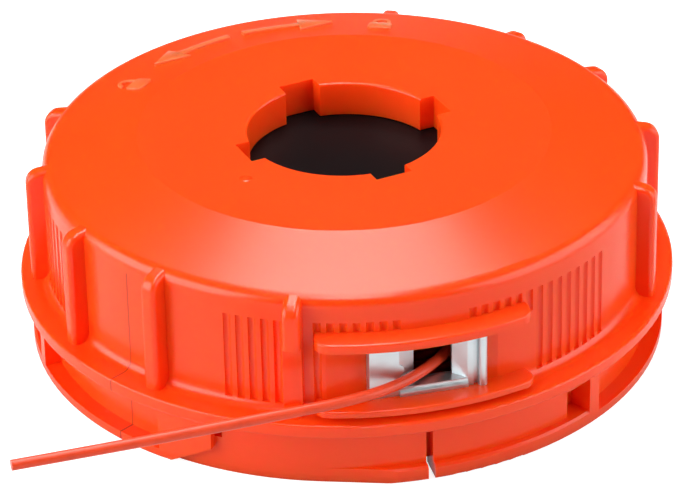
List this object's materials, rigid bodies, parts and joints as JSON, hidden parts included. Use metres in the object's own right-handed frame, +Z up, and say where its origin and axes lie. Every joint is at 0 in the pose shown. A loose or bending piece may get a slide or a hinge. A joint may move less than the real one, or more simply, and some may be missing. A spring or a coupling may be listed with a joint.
{
  "type": "trimmer line spool",
  "caption": "Round twist-on trimmer cassette: ribbed cap with a notched centre hole, a line spool that turns inside it, and a line end led out through a metal eyelet.",
  "frame": {"origin": "on the axis of rotation, in the plane of the skirt's lower rim", "axes": "+Z up along the axis of rotation, out of the closed top of the cap; -Y towards the side with the eyelet"},
  "size_m": [0.1, 0.1165, 0.0326],
  "materials": {
    "cap_plastic": "satin moulded plastic, orange",
    "eyelet_metal": "bright zinc-plated steel",
    "spool_plastic": "satin moulded plastic, black",
    "line_nylon": "drawn nylon line, orange"
  },
  "bodies": {
    "housing": {"cap": "cap_plastic", "eyelet": "eyelet_metal", "line_end": "line_nylon"},
    "reel": {"spool": "spool_plastic", "line_winding": "line_nylon"}
  },
  "joints": [
    {"name": "reel_turn", "type": "hinge", "parent": "housing", "child": "reel", "pos_m": [0, 0, 0.0146], "axis": [0, 0, 1], "continuous": true}
  ]
}
